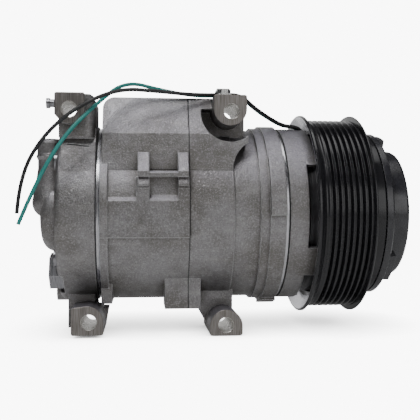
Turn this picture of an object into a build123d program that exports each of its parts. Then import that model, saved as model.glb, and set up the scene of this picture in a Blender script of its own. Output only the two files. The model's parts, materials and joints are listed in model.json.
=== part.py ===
from build123d import *
from math import atan, cos, degrees, pi, radians, sin, sqrt, tan
import os

os.makedirs("parts", exist_ok=True)

# Fixed-displacement swash-plate compressor with an electromagnetic clutch.
# Frame: X along the shaft towards the clutch, -Y towards the near side, Z up.
# Origin: on the shaft axis, in the middle of the seven belt grooves.
# "Angle" below is measured about the shaft, from the top towards the near side.

# ---- Casing, along the shaft ----
BODY_R = 54.5
HOUSING_R = 55.0
REAR_WALL_X = -171.2
REAR_DECK_X = -145.4
MID_JOINT_X = -93.6
FRONT_DECK_X = -37.4
STACK = 2.8
REAR_HOUSING_X = REAR_DECK_X - STACK
FRONT_HOUSING_X = FRONT_DECK_X + STACK
RECESS_X = -23.5
LUG_RIM_X = -17.7
COIL_SEAT_X = -21.5
NOSE_END_X = 15.5
NOSE_R = 20.0

# ---- Compression mechanism ----
CYLINDERS = 5
BORE_R = 16.0
PITCH_R = 35.0
HALF_STROKE = 11.0
TILT = degrees(atan(HALF_STROKE / PITCH_R))
SWASH_X = (REAR_DECK_X + FRONT_DECK_X) / 2
CHAMBER_HALF = 24.0
CHAMBER_R = 44.4
FIRST_BORE_ANGLE = 14.5
PISTON_GAP = 0.12
PISTON_HALF = 42.5
PLATE_HALF = 4.0
PLATE_R = 43.4
SHOE_R = 8.5
RUNNING_GAP = 0.1
HUB_SEAT_R = 16.5
HUB_FLANGE_R = 18.0

# ---- Through bolts (M6) ----
BOLT_PITCH_R = 48.0
BOLT_R = 2.9
BOLT_HOLE_R = 3.15
FIRST_BOLT_ANGLE = 50.5
BOLT_SEAT_X = -166.5
BOLT_END_X = -22.4

# ---- Shaft and bearings ----
SHAFT_R = 9.45
SPLINE_R = 8.0
SHAFT_BORE_R = 10.4
NEEDLE_OUTER_R = 13.0

# ---- Pulley, seven grooves of the PK section ----
GROOVES = 7
GROOVE_PITCH = 3.56
CREST_R = 61.0
ROOT_R = 58.1
FLANGE_R = 64.0
PULLEY_REAR_X = -20.0
FLANGE_FRONT_X = 15.0
ROTOR_FACE_X = 24.0
CHANNEL_END_X = 16.0
RIM_BORE_R = 51.9
CLUTCH_R = 52.5
BEARING_BORE_R = 31.0
ROTOR_HUB_R = 34.6
BEARING_HALF = 12.0

# ---- Clutch armature and hub ----
AIR_GAP = 0.5
ARMATURE_X = ROTOR_FACE_X + AIR_GAP
ARMATURE_FACE_X = 29.0
LOBE_X = 33.0
LOBE_R = 51.0
FIRST_LOBE_ANGLE = 13.0
LOBE_HALF_ANGLE = 12.0
COVER_R = 41.0
COVER_FACE_X = 43.0

# ---- Mounting lugs: M8 bolts pass through along Y ----
LUG_NEAR_Y = -50.0
LUG_FAR_Y = -9.0
LUG_HOLE_R = 4.5
UPPER_REAR_LUG = (-162.9, 59.9)
UPPER_FRONT_LUG = (-69.0, 59.9)
LOWER_REAR_LUG = (-151.7, -62.7)
LOWER_FRONT_LUG = (-72.2, -65.3)
LUG_TOP_Z = 69.6
LUG_BOTTOM_Z = -71.4
REAR_LUG_BOTTOM_Z = -70.2

# ---- Manifold block on top ----
BLOCK_TOP_Z = LUG_TOP_Z
BLOCK_REAR_X = -144.3
BLOCK_FRONT_X = -58.4
BLOCK_FAR_Y = 38.0
STEP_X = -67.4

# ---- Ports on the far face of the manifold block ----
SUCTION_X = -130.0
DISCHARGE_X = -104.0
PORT_BOLT_X = -116.5
PORT_Z = 53.5
SUCTION_R = 8.75
SUCTION_DEPTH = 15.0
DISCHARGE_R = 7.25
DISCHARGE_DEPTH = 14.0
PORT_BOLT_R = 3.4
PORT_BOLT_DEPTH = 19.0

# ---- Leads ----
WIRE_R = 1.1
CLIP_X = -72.7
CLIP_Y = -35.0
LEAD_PITCH = 3.2
LEAD_Z = 71.8
COIL_ENTRY_X = -18.2
GROMMET_TOP_Z = 50.0
CLIP_WIDTH = 7.6
CLIP_SHEET = 1.0
CLIP_OPENING = 4.2
SCREW_Y = -43.6


def radial_plane(angle):
    """Plane through the shaft axis: its x is the shaft, its y is the radius at this angle."""
    turn = radians(angle)
    return Plane(origin=(0, 0, 0), x_dir=(1, 0, 0), z_dir=(0, -cos(turn), -sin(turn)))


def around(radius, angle):
    """(y, z) of a point at this radius and angle about the shaft."""
    turn = radians(angle)
    return (-radius * sin(turn), radius * cos(turn))


def sector(points, start=0, end=360, mode=Mode.ADD):
    """Turns a closed outline of (x, radius) points about the shaft, between two angles."""
    with BuildSketch(radial_plane(start)) as outline:
        with BuildLine():
            Polyline(*points, close=True)
        make_face()
    revolve(outline.sketch, axis=Axis.X, revolution_arc=end - start, mode=mode)


def ring(x_low, x_high, inner, outer, start=0, end=360, mode=Mode.ADD):
    """Ring or disc about the shaft axis."""
    corners = [(x_low, inner), (x_high, inner), (x_high, outer), (x_low, outer)]
    sector(corners, start, end, mode)


def axial_holes(x_low, x_high, radius, pitch_radius, first_angle, count=CYLINDERS):
    """Round holes parallel to the shaft, evenly spaced about it."""
    with BuildSketch(Plane.YZ.offset(x_low)) as holes:
        with PolarLocations(pitch_radius, count, start_angle=90 + first_angle):
            Circle(radius)
    extrude(holes.sketch, amount=x_high - x_low, mode=Mode.SUBTRACT)


def block_on(plane, depth, corners, mode=Mode.ADD):
    """Prism: a closed outline on a plane, extruded by depth along the plane's normal."""
    with BuildSketch(plane) as outline:
        with BuildLine():
            Polyline(*corners, close=True)
        make_face()
    extrude(outline.sketch, amount=depth, mode=mode)


def box_between(low, high, mode=Mode.ADD):
    """Box given by its lowest and highest corners."""
    size = [high[i] - low[i] for i in range(3)]
    middle = [(high[i] + low[i]) / 2 for i in range(3)]
    with Locations(tuple(middle)):
        Box(*size, mode=mode)


def across(y):
    """Plane facing the near side at this y: its x is X and its y is Z."""
    return Plane.XZ.offset(-y)


def cylinder_across(center, radius, near_y, far_y, mode=Mode.ADD):
    """Cylinder along Y, between two y values, centred at (x, z)."""
    with BuildSketch(across(near_y)) as circle:
        with Locations(center):
            Circle(radius)
    extrude(circle.sketch, amount=near_y - far_y, mode=mode)


def lug_boss(x_low, x_high, z_flat, z_round, radius):
    """Machined lug: flat at z_flat, rounded towards z_round, from the near face to the far face."""
    up = 1 if z_flat > z_round else -1
    middle_x = (x_low + x_high) / 2
    middle_z = z_round + up * radius
    corner = 1.2
    width = x_high - x_low
    with BuildSketch(across(LUG_NEAR_Y)) as face:
        with Locations((middle_x, middle_z)):
            Ellipse(width / 2, radius)
        with Locations((middle_x, middle_z + up * radius)):
            Rectangle(width, 2 * radius, mode=Mode.SUBTRACT)
        with Locations((middle_x, (middle_z + z_flat) / 2)):
            Rectangle(width, abs(z_flat - middle_z))
        ends = face.vertices().group_by(Axis.Y)[-1 if up > 0 else 0]
        fillet(ends, radius=corner)
    extrude(face.sketch, amount=LUG_NEAR_Y - LUG_FAR_Y)


def valve_stack_holes(x_low, x_high):
    """Bolt holes and the shaft hole that every plate between a block and its housing has."""
    axial_holes(x_low, x_high, BOLT_HOLE_R, BOLT_PITCH_R, FIRST_BOLT_ANGLE)
    ring(x_low, x_high, 0, SHAFT_BORE_R, mode=Mode.SUBTRACT)


def finish(piece, name):
    """Labels a finished piece and writes it."""
    piece.part.label = name
    export_step(piece.part, f"parts/{name}.step")


# ================= Front housing =================
# Castellated rim towards the pulley, and a nose that carries the pulley bearing and the shaft seal.
HOUSING_LUGS = [(-40, 58), (112, 133), (184, 205), (256, 277)]
CHAMBER_DEPTH = 7.0
SEAL_CAVITY_R = 14.5
SEAL_BACK_X = -8.0
SEAL_FRONT_X = 1.0
SNAP_THICKNESS = 1.2
with BuildPart() as front_housing:
    ring(FRONT_HOUSING_X, RECESS_X, 0, HOUSING_R)
    nose = [
        (RECESS_X, 0), (RECESS_X, 36), (COIL_SEAT_X, 36), (COIL_SEAT_X, 25),
        (-19.5, 25), (-19.5, 23.8), (-17.9, 23.8), (-17.9, 25), (-16, 25), (-16, 23.3),
        (-BEARING_HALF, 23.3), (-BEARING_HALF, NOSE_R), (12.1, NOSE_R), (12.1, 18.8),
        (13.7, 18.8), (13.7, NOSE_R), (14.7, NOSE_R), (NOSE_END_X, 19.2), (NOSE_END_X, 0),
    ]
    sector(nose)
    for first, last in HOUSING_LUGS:
        ring(RECESS_X, LUG_RIM_X, 51.7, HOUSING_R, first, last)
    # Gas chambers open towards the valve plate
    ring(FRONT_HOUSING_X, FRONT_HOUSING_X + CHAMBER_DEPTH, 17, 30, mode=Mode.SUBTRACT)
    ring(FRONT_HOUSING_X, FRONT_HOUSING_X + CHAMBER_DEPTH, 33, 43.5, mode=Mode.SUBTRACT)
    # Shaft bore and seal cavity, with the snap ring's groove
    ring(FRONT_HOUSING_X, NOSE_END_X, 0, SHAFT_BORE_R, mode=Mode.SUBTRACT)
    ring(SEAL_BACK_X, NOSE_END_X, 0, SEAL_CAVITY_R, mode=Mode.SUBTRACT)
    ring(SEAL_FRONT_X, SEAL_FRONT_X + SNAP_THICKNESS, 0, 15.4, mode=Mode.SUBTRACT)
    # Blind tapped holes for the through bolts
    axial_holes(FRONT_HOUSING_X, BOLT_END_X + 0.7, BOLT_R + 0.05, BOLT_PITCH_R, FIRST_BOLT_ANGLE)
    # Slot in the rim that lets the two leads through to the coil
    box_between((RECESS_X, -13, 49), (LUG_RIM_X + 1, -5, 58), mode=Mode.SUBTRACT)
finish(front_housing, "front_housing")


# ================= Cylinder blocks =================
def block_section(x_low, x_high):
    """Manifold block on top of the drum, as a prism along the shaft."""
    section = [
        (-34, BLOCK_TOP_Z), (-45.6, 47), (-48.8, 26), (-40, 0), (40, 0),
        (47, 26), (BLOCK_FAR_Y + 4, 36), (BLOCK_FAR_Y, 40), (BLOCK_FAR_Y, BLOCK_TOP_Z - 4),
        (BLOCK_FAR_Y - 4, BLOCK_TOP_Z),
    ]
    block_on(Plane.YZ.offset(x_low), x_high - x_low, section)


def panel_prism(side, span, section, mode=Mode.ADD):
    """Prism along the shaft on one flank: side is -1 near, +1 far; section is (distance out, z)."""
    corners = [(side * out, z) for out, z in section]
    block_on(Plane.YZ.offset(span[0]), span[1] - span[0], corners, mode=mode)


def cylinder_bores(x_low, x_high):
    """The five bores, the swash chamber and the through-bolt holes of one block."""
    axial_holes(x_low, x_high, BORE_R, PITCH_R, FIRST_BORE_ANGLE)
    axial_holes(x_low, x_high, BOLT_HOLE_R, BOLT_PITCH_R, FIRST_BOLT_ANGLE)
    ring(x_low, x_high, 0, SHAFT_BORE_R, mode=Mode.SUBTRACT)
    chamber_low = max(x_low, SWASH_X - CHAMBER_HALF)
    chamber_high = min(x_high, SWASH_X + CHAMBER_HALF)
    ring(chamber_low, chamber_high, 0, CHAMBER_R, mode=Mode.SUBTRACT)


FRONT_NEEDLE_X = (-62.0, -46.0)
REAR_NEEDLE_X = (-138.0, -122.0)
SEAL_GROOVE = (51.9, 53.7)
SWEEP_X = STEP_X - 0.3
RECESS_R = 16.2
RECESS_DRAFT = 4
RECESS_TOP_Z = 62.0
RECESS_FLOOR_Y = -27.0
with BuildPart() as front_cylinder_block:
    block_section(MID_JOINT_X, BLOCK_FRONT_X)
    # Front end of the block sweeps down into the drum along a hollow arc
    with BuildSketch(across(-60)):
        with BuildLine():
            Line((BLOCK_FRONT_X, 42), (-50, 42))
            Line((-50, 42), (-50, 0))
            Line((-50, 0), (SWEEP_X, 0))
            Line((SWEEP_X, 0), (SWEEP_X, 24))
            ThreePointArc((SWEEP_X, 24), (-64.6, 36.2), (BLOCK_FRONT_X, 42))
        make_face()
    extrude(amount=-60, mode=Mode.SUBTRACT)
    # Recess with sloping walls about the upper lug on the near side, and open space behind the lug
    with BuildSketch(across(RECESS_FLOOR_Y)):
        with Locations(UPPER_FRONT_LUG):
            Circle(RECESS_R)
        with Locations((UPPER_FRONT_LUG[0], RECESS_TOP_Z + RECESS_R)):
            Rectangle(3 * RECESS_R, 2 * RECESS_R, mode=Mode.SUBTRACT)
    extrude(amount=30, taper=-RECESS_DRAFT, mode=Mode.SUBTRACT)
    box_between((-81, LUG_FAR_Y, 44), (-50, 60, 80), mode=Mode.SUBTRACT)
    ring(MID_JOINT_X, FRONT_DECK_X, 0, BODY_R - 0.7)
    ring(MID_JOINT_X, STEP_X, 0, BODY_R)
    ring(-46.7, FRONT_DECK_X, 0, 56.5)
    ring(-52.2, -46.7, 0, 55.3)
    # Bolt pads round the front flange: near side, bottom and far side
    for first, last in [(54, 91), (160, 178), (226, 250), (-70, -50)]:
        ring(-46.7, FRONT_DECK_X, 50, 58.3, first, last)
    lug_boss(-79.4, -59.8, LUG_TOP_Z, 51.5, 9.8)
    lug_boss(-81.7, -62.4, LUG_BOTTOM_Z, -56.4, 9.6)
    # Arm of the lower lug, set back from its face
    block_on(across(-26), -17, [(-84, -40), (-65.5, -40), (-65.5, -66), (-81, -69), (-86.2, -60)])
    # Boss beside the middle joint, low on the near side
    box_between((MID_JOINT_X, -38, -57.2), (-86.2, -10, -38))
    # Raised foot of the manifold block on the far side, with a stiffening rib
    box_between((MID_JOINT_X, 44, -6), (STEP_X, 55.5, 26))
    cylinder_bores(MID_JOINT_X, FRONT_DECK_X)
    ring(FRONT_NEEDLE_X[0], FRONT_DECK_X, 0, NEEDLE_OUTER_R, mode=Mode.SUBTRACT)
    ring(MID_JOINT_X, MID_JOINT_X + 1.4, *SEAL_GROOVE, mode=Mode.SUBTRACT)
    cylinder_across(UPPER_FRONT_LUG, LUG_HOLE_R, -60, 0, mode=Mode.SUBTRACT)
    cylinder_across(LOWER_FRONT_LUG, LUG_HOLE_R, -60, 0, mode=Mode.SUBTRACT)
    # Hole for the clip screw in the top of the upper lug
    with Locations((CLIP_X, SCREW_Y, LUG_TOP_Z - 2)):
        Cylinder(2.0, 5, mode=Mode.SUBTRACT)
finish(front_cylinder_block, "front_cylinder_block")

with BuildPart() as rear_cylinder_block:
    block_section(BLOCK_REAR_X, MID_JOINT_X)
    rear_edges = rear_cylinder_block.edges().filter_by(Axis.Y).group_by(Axis.X)[0]
    fillet(rear_edges.sort_by(Axis.Z)[-1], radius=7)
    ring(REAR_DECK_X, MID_JOINT_X, 0, BODY_R)
    ring(REAR_DECK_X, -141, 0, 56.3)
    # Pad and ribbed panel, the same on the near side and the far side
    for side in (-1, 1):
        low_pad = [(44, -14), (55.2, -14), (55.2, 7.2), (52.6, 11), (44, 11)]
        panel_prism(side, (REAR_DECK_X, -124.6), low_pad)
        panel = [(44, -14), (55.2, -14), (55.2, 21.2), (44, 21.2)]
        panel_prism(side, (-124.6, MID_JOINT_X), panel)
        ledge = [(44, 24.3), (56.2, 24.3), (57.2, 23.3), (57.2, 21.2), (44, 21.2)]
        panel_prism(side, (-123.6, -94.4), ledge)
        for span in ((-123.6, -117), (-100.4, -94.4)):
            gusset = [(44, 35.5), (49, 35.5), (57.2, 24.3), (57.2, 21.2), (44, 21.2)]
            panel_prism(side, span, gusset)
            foot = [(44, 21.2), (55.4, 21.2), (57.2, 17), (57.2, 16), (55, 14.4), (44, 14.4)]
            panel_prism(side, span, foot)
        pocket = [(60, 7.4), (55.2, 7.4), (52.9, 10.6), (52.9, 21.2), (60, 21.2)]
        panel_prism(side, (-117, -100.4), pocket, mode=Mode.SUBTRACT)
    # Boss beside the middle joint, and the foot of the rear flange
    box_between((-107.6, -38, -57.2), (MID_JOINT_X, -10, -36))
    box_between((REAR_DECK_X, -34, -54.2), (-139, -8, -40))
    cylinder_bores(REAR_DECK_X, MID_JOINT_X)
    ring(REAR_DECK_X, REAR_NEEDLE_X[1], 0, NEEDLE_OUTER_R, mode=Mode.SUBTRACT)
    # Gas ports and the tapped hole of their flange on the far face
    ports = [
        (SUCTION_X, SUCTION_R, SUCTION_DEPTH),
        (DISCHARGE_X, DISCHARGE_R, DISCHARGE_DEPTH),
        (PORT_BOLT_X, PORT_BOLT_R, PORT_BOLT_DEPTH),
    ]
    for x, radius, depth in ports:
        cylinder_across((x, PORT_Z), radius, BLOCK_FAR_Y - depth, 60, mode=Mode.SUBTRACT)
finish(rear_cylinder_block, "rear_cylinder_block")


# ================= Rear housing =================
RELIEF_ANGLE = 142.0
RELIEF_PITCH_R = 43.8
relief_y, relief_z = around(RELIEF_PITCH_R, RELIEF_ANGLE)
RELIEF_SEAT_X = -167.5
RELIEF_TOP_X = -176.0
RELIEF_FACE_R = 13.6
RELIEF_STEM_R = 5.0
RELIEF_STEM = 5.0
ARM_FOOT_Z = 44.0
ARM_END_X = -148.3
BOSS_REAR_X = -183.8
CHAMBER_X = -177.4
CHAMBER_Y = -12.0
with BuildPart() as rear_housing:
    ring(REAR_WALL_X, REAR_HOUSING_X, 0, HOUSING_R)
    outer_edge = rear_housing.edges().filter_by(GeomType.CIRCLE).sort_by(Axis.X)[0]
    fillet(outer_edge, radius=3.5)
    # Round boss over the rear end of the shaft
    with BuildSketch(Plane.YZ.offset(BOSS_REAR_X)):
        with Locations((-2, 0)):
            Circle(24.5)
    boss = extrude(amount=14)
    rear_ring = boss.edges().filter_by(GeomType.CIRCLE).sort_by(Axis.X)[0]
    fillet(rear_ring, radius=9)
    # Upright valve chamber on the rear wall: a bulging column under a cap
    with BuildSketch(Plane(origin=(CHAMBER_X, CHAMBER_Y, 0), x_dir=(-1, 0, 0), z_dir=(0, 1, 0))):
        with BuildLine():
            Polyline((0, -3), (0, 46), (6.6, 46), (8.1, 45), (8.7, 43.4), (8.7, 37), (9.3, 35), (8.3, 33))
            Line((8.3, 33), (8.3, 28))
            ThreePointArc((8.3, 28), (9.6, 19.5), (11.6, 9))
            ThreePointArc((11.6, 9), (8.8, -0.4), (0, -3))
        make_face()
    revolve(axis=Axis((CHAMBER_X, CHAMBER_Y, 0), (0, 0, 1)))
    # Upper lug, squarer on its rear side
    lug_depth = LUG_NEAR_Y - LUG_FAR_Y
    lug_boss(-171.2, -154.0, LUG_TOP_Z, 51.8, 8.6)
    squared_side = [(-171.2, 60), (-171.2, 57), (-167.4, 52.6), (-162.6, 51.8), (-162.6, 60)]
    block_on(across(LUG_NEAR_Y), lug_depth, squared_side)
    # Arm of the upper lug, rounded where it nears the joint, and the shoulder under it
    with BuildSketch(Plane.XY.offset(ARM_FOOT_Z)) as arm:
        with BuildLine():
            Polyline((-169.2, -46), (ARM_END_X, -46), (ARM_END_X, -11), (-169.2, -11), close=True)
        make_face()
        fillet(arm.vertices().group_by(Axis.X)[-1].sort_by(Axis.Y)[0], radius=5.5)
    extrude(amount=LUG_TOP_Z - 0.2 - ARM_FOOT_Z)
    worn_corner = [(-152.6, 71), (-151.6, 69.6), (-149.4, 68.4), (-148.3, 66), (-147, 66), (-147, 71)]
    block_on(across(-60), -60, worn_corner, mode=Mode.SUBTRACT)
    shoulder = [(-10, 50), (-41, 50), (-42.6, ARM_FOOT_Z), (-49.5, 24), (-30, 20)]
    block_on(Plane.YZ.offset(-168), 20, shoulder)
    # Lower lug, squarer on its rear side, and its arm
    lug_boss(-161.9, -143.4, REAR_LUG_BOTTOM_Z, -53.4, 9.3)
    squared_side = [(-161.9, -64), (-161.9, -55), (-160.6, -54.2), (-152.6, -53.4), (-152.6, -64)]
    block_on(across(LUG_NEAR_Y), lug_depth, squared_side)
    arm = [(-165.9, -40), (-150, -40), (-150, -57.8), (-141.4, -57.8), (-143.6, -69.6), (-165.9, -69.6)]
    block_on(across(-24), -15, arm)
    # Small boss low on the far side of the rear wall
    with Locations(Location((-170, 9, -50.5), (0, 90, 0))):
        Cylinder(6.4, 12)
    # Stiffening ribs on the rear wall
    for angle in (250, 305):
        rib = around(38, angle)
        with Locations(Location((REAR_WALL_X, *rib), (angle, 0, 0))):
            Box(6, 4, 26)
    # Keep the joint face and the rear block clear
    ring(REAR_HOUSING_X, -130, 0, 57.9, mode=Mode.SUBTRACT)
    # Gas chambers open towards the valve plate
    ring(-167, REAR_HOUSING_X, 0, 30, mode=Mode.SUBTRACT)
    ring(-164, REAR_HOUSING_X, 33, 43.5, mode=Mode.SUBTRACT)
    # Through-bolt holes with pockets for the heads
    axial_holes(BOLT_SEAT_X, REAR_HOUSING_X, BOLT_HOLE_R, BOLT_PITCH_R, FIRST_BOLT_ANGLE)
    axial_holes(-185, BOLT_SEAT_X, 5.8, BOLT_PITCH_R, FIRST_BOLT_ANGLE)
    # Spot face and tapped hole for the relief valve
    with BuildSketch(Plane.YZ.offset(RELIEF_SEAT_X)):
        with Locations((relief_y, relief_z)):
            Circle(RELIEF_FACE_R)
    extrude(amount=-RELIEF_FACE_R, mode=Mode.SUBTRACT)
    with BuildSketch(Plane.YZ.offset(RELIEF_SEAT_X)):
        with Locations((relief_y, relief_z)):
            Circle(RELIEF_STEM_R + 0.05)
    extrude(amount=RELIEF_STEM + 0.3, mode=Mode.SUBTRACT)
    cylinder_across(UPPER_REAR_LUG, LUG_HOLE_R, -60, 0, mode=Mode.SUBTRACT)
    cylinder_across(LOWER_REAR_LUG, LUG_HOLE_R, -60, 0, mode=Mode.SUBTRACT)
    # Cast slit on the shoulder below the upper lug
    slit = [(-165, 40.8), (-152, 39.3), (-152, 38.6), (-165, 40.1)]
    block_on(across(-60), -17.6, slit, mode=Mode.SUBTRACT)
finish(rear_housing, "rear_housing")

with BuildPart() as relief_valve:
    with BuildSketch(Plane.YZ.offset(RELIEF_TOP_X)):
        with Locations((relief_y, relief_z)):
            RegularPolygon(radius=9.6, side_count=6, major_radius=False, rotation=12)
    extrude(amount=RELIEF_SEAT_X - RELIEF_TOP_X)
    with BuildSketch(Plane.YZ.offset(RELIEF_SEAT_X)):
        with Locations((relief_y, relief_z)):
            Circle(RELIEF_STEM_R)
    extrude(amount=RELIEF_STEM)
finish(relief_valve, "relief_valve")

with BuildPart() as bracket_pin:
    with BuildSketch(Plane.YZ.offset(-178.2)):
        with Locations((-30, 66)):
            Circle(2.4)
    extrude(amount=7)
    with BuildSketch(Plane.YZ.offset(-178.2)):
        with Locations((-30, 66)):
            Circle(3.1)
    extrude(amount=2.2)
finish(bracket_pin, "bracket_pin")


# ================= Valve plates, reeds and gaskets =================
PLATE_R_OUT = 54.0
REED_THICKNESS = 0.4
VALVE_PLATE_THICKNESS = 1.6
SUCTION_PORT_PITCH = 38.0
DISCHARGE_PORT_PITCH = 25.0


def suction_reeds(x_low):
    """Thin disc with a tongue cut free in front of each bore."""
    x_high = x_low + REED_THICKNESS
    ring(x_low, x_high, 0, PLATE_R_OUT)
    valve_stack_holes(x_low, x_high)
    axial_holes(x_low, x_high, 4.2, DISCHARGE_PORT_PITCH, FIRST_BORE_ANGLE)
    with BuildSketch(Plane.YZ.offset(x_low)) as tongues:
        with PolarLocations(SUCTION_PORT_PITCH, CYLINDERS, start_angle=90 + FIRST_BORE_ANGLE):
            SlotOverall(17, 12.4)
        with PolarLocations(SUCTION_PORT_PITCH, CYLINDERS, start_angle=90 + FIRST_BORE_ANGLE):
            SlotOverall(15.4, 10.8, mode=Mode.SUBTRACT)
        with PolarLocations(SUCTION_PORT_PITCH - 5, CYLINDERS, start_angle=90 + FIRST_BORE_ANGLE):
            Rectangle(8, 14, mode=Mode.SUBTRACT)
    extrude(tongues.sketch, amount=REED_THICKNESS, mode=Mode.SUBTRACT)


def valve_plate(x_low):
    """Steel plate with one suction and one discharge port for each bore."""
    x_high = x_low + VALVE_PLATE_THICKNESS
    ring(x_low, x_high, 0, PLATE_R_OUT)
    valve_stack_holes(x_low, x_high)
    axial_holes(x_low, x_high, 4.5, SUCTION_PORT_PITCH, FIRST_BORE_ANGLE)
    axial_holes(x_low, x_high, 3.6, DISCHARGE_PORT_PITCH, FIRST_BORE_ANGLE)


def discharge_reeds(x_low):
    """Thin star whose five fingers cover the discharge ports."""
    x_high = x_low + REED_THICKNESS
    ring(x_low, x_high, SHAFT_BORE_R, 30)
    slits = 5
    with BuildSketch(Plane.YZ.offset(x_low)) as gaps:
        with PolarLocations(26, slits, start_angle=90 + FIRST_BOLT_ANGLE):
            Rectangle(14, 14)
    extrude(gaps.sketch, amount=REED_THICKNESS, mode=Mode.SUBTRACT)


def head_gasket(x_low, x_high):
    """Gasket with windows over the suction chamber, and a tab that shows in the gap."""
    ring(x_low, x_high, 31, PLATE_R_OUT)
    axial_holes(x_low, x_high, BOLT_HOLE_R, BOLT_PITCH_R, FIRST_BOLT_ANGLE)
    for index in range(CYLINDERS):
        middle = FIRST_BORE_ANGLE + index * 360 / CYLINDERS
        ring(x_low, x_high, 33.4, 43.2, middle - 27, middle + 27, mode=Mode.SUBTRACT)
    ring(x_low, x_high, 53, BODY_R, 80.5, 83)


with BuildPart() as front_suction_reeds:
    suction_reeds(FRONT_DECK_X)
finish(front_suction_reeds, "front_suction_reeds")

with BuildPart() as front_valve_plate:
    valve_plate(FRONT_DECK_X + REED_THICKNESS)
finish(front_valve_plate, "front_valve_plate")

with BuildPart() as front_discharge_reeds:
    discharge_reeds(FRONT_DECK_X + REED_THICKNESS + VALVE_PLATE_THICKNESS)
finish(front_discharge_reeds, "front_discharge_reeds")

with BuildPart() as front_head_gasket:
    head_gasket(FRONT_DECK_X + REED_THICKNESS + VALVE_PLATE_THICKNESS, FRONT_HOUSING_X)
finish(front_head_gasket, "front_head_gasket")

with BuildPart() as rear_suction_reeds:
    suction_reeds(REAR_DECK_X - REED_THICKNESS)
finish(rear_suction_reeds, "rear_suction_reeds")

with BuildPart() as rear_valve_plate:
    valve_plate(REAR_DECK_X - REED_THICKNESS - VALVE_PLATE_THICKNESS)
finish(rear_valve_plate, "rear_valve_plate")

with BuildPart() as rear_discharge_reeds:
    discharge_reeds(REAR_DECK_X - REED_THICKNESS * 2 - VALVE_PLATE_THICKNESS)
finish(rear_discharge_reeds, "rear_discharge_reeds")

with BuildPart() as rear_head_gasket:
    head_gasket(REAR_HOUSING_X, REAR_DECK_X - REED_THICKNESS - VALVE_PLATE_THICKNESS)
finish(rear_head_gasket, "rear_head_gasket")

with BuildPart() as block_seal_ring:
    with BuildSketch(Plane.XZ):
        with Locations((MID_JOINT_X + 0.7, sum(SEAL_GROOVE) / 2)):
            Circle(0.68)
    revolve(axis=Axis.X)
finish(block_seal_ring, "block_seal_ring")

with BuildPart() as through_bolts:
    with BuildSketch(Plane.YZ.offset(BOLT_SEAT_X)):
        with PolarLocations(BOLT_PITCH_R, CYLINDERS, start_angle=90 + FIRST_BOLT_ANGLE):
            Circle(BOLT_R)
    extrude(amount=BOLT_END_X - BOLT_SEAT_X)
    with BuildSketch(Plane.YZ.offset(BOLT_SEAT_X)):
        with PolarLocations(BOLT_PITCH_R, CYLINDERS, start_angle=90 + FIRST_BOLT_ANGLE):
            Circle(5.2)
    extrude(amount=-5.8)
    with BuildSketch(Plane.YZ.offset(BOLT_SEAT_X - 5.8)):
        with PolarLocations(BOLT_PITCH_R, CYLINDERS, start_angle=90 + FIRST_BOLT_ANGLE):
            RegularPolygon(radius=2.5, side_count=6, major_radius=False)
    extrude(amount=3, mode=Mode.SUBTRACT)
finish(through_bolts, "through_bolts")


# ================= Shaft seal and fixed bearings =================
with BuildPart() as shaft_seal:
    seal = [
        (SEAL_BACK_X, 9.2), (-6.5, SPLINE_R + RUNNING_GAP), (-5.5, SPLINE_R + RUNNING_GAP), (-4.5, 10),
        (-1.5, 10), (-0.5, 9), (SEAL_FRONT_X, 9), (SEAL_FRONT_X, SEAL_CAVITY_R), (SEAL_BACK_X, SEAL_CAVITY_R),
    ]
    sector(seal)
finish(shaft_seal, "shaft_seal")

with BuildPart() as seal_snap_ring:
    ring(SEAL_FRONT_X, SEAL_FRONT_X + SNAP_THICKNESS, 12.4, 15.4, 12, 348)
finish(seal_snap_ring, "seal_snap_ring")


def needle_bearing(x_low, x_high):
    """Drawn cup with its row of needle rollers, running on the shaft."""
    shell = NEEDLE_OUTER_R - 1.2
    roller_r = (shell - SHAFT_R - RUNNING_GAP) / 2
    pitch = shell - roller_r
    ring(x_low, x_high, shell - 0.05, NEEDLE_OUTER_R)
    ring(x_low, x_low + 1, SHAFT_R + 0.35, shell)
    ring(x_high - 1, x_high, SHAFT_R + 0.35, shell)
    with BuildSketch(Plane.YZ.offset(x_low + 0.5)) as rollers:
        with PolarLocations(pitch, 24):
            Circle(roller_r)
    extrude(rollers.sketch, amount=x_high - x_low - 1)


with BuildPart() as front_shaft_bearing:
    needle_bearing(*FRONT_NEEDLE_X)
finish(front_shaft_bearing, "front_shaft_bearing")

with BuildPart() as rear_shaft_bearing:
    needle_bearing(*REAR_NEEDLE_X)
finish(rear_shaft_bearing, "rear_shaft_bearing")

SLEEVE_HALF = 20.0


def thrust_bearing(side):
    """Two flat races with radial rollers, between the swash hub and one block."""
    wall = SWASH_X + side * CHAMBER_HALF
    race = side * 0.9
    ring(min(wall, wall - race), max(wall, wall - race), 11, 17)
    inner = SWASH_X + side * (SLEEVE_HALF + 0.1)
    ring(min(inner, inner + race), max(inner, inner + race), 11, 17)
    middle = (wall - race + inner + race) / 2
    roller_r = abs(wall - race - inner - race) / 2 + 0.03
    with Locations(Location((middle, 0, 0), (0, 90, 0))):
        with PolarLocations(14.2, 16):
            Cylinder(roller_r, 4.6, rotation=(0, 90, 0))


with BuildPart() as front_thrust_bearing:
    thrust_bearing(1)
finish(front_thrust_bearing, "front_thrust_bearing")

with BuildPart() as rear_thrust_bearing:
    thrust_bearing(-1)
finish(rear_thrust_bearing, "rear_thrust_bearing")


# ================= Shaft, swash plate, shoes and pistons =================
# The plate leans so that its upper rim is towards the rear.
tilt = radians(TILT)
plate_axis = Vector(cos(tilt), 0, sin(tilt))
plate_side = Vector(0, -1, 0)
plate_plane = Plane(origin=(SWASH_X, 0, 0), x_dir=plate_axis, z_dir=plate_side)
plate_turn_axis = Axis((SWASH_X, 0, 0), plate_axis)


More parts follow.
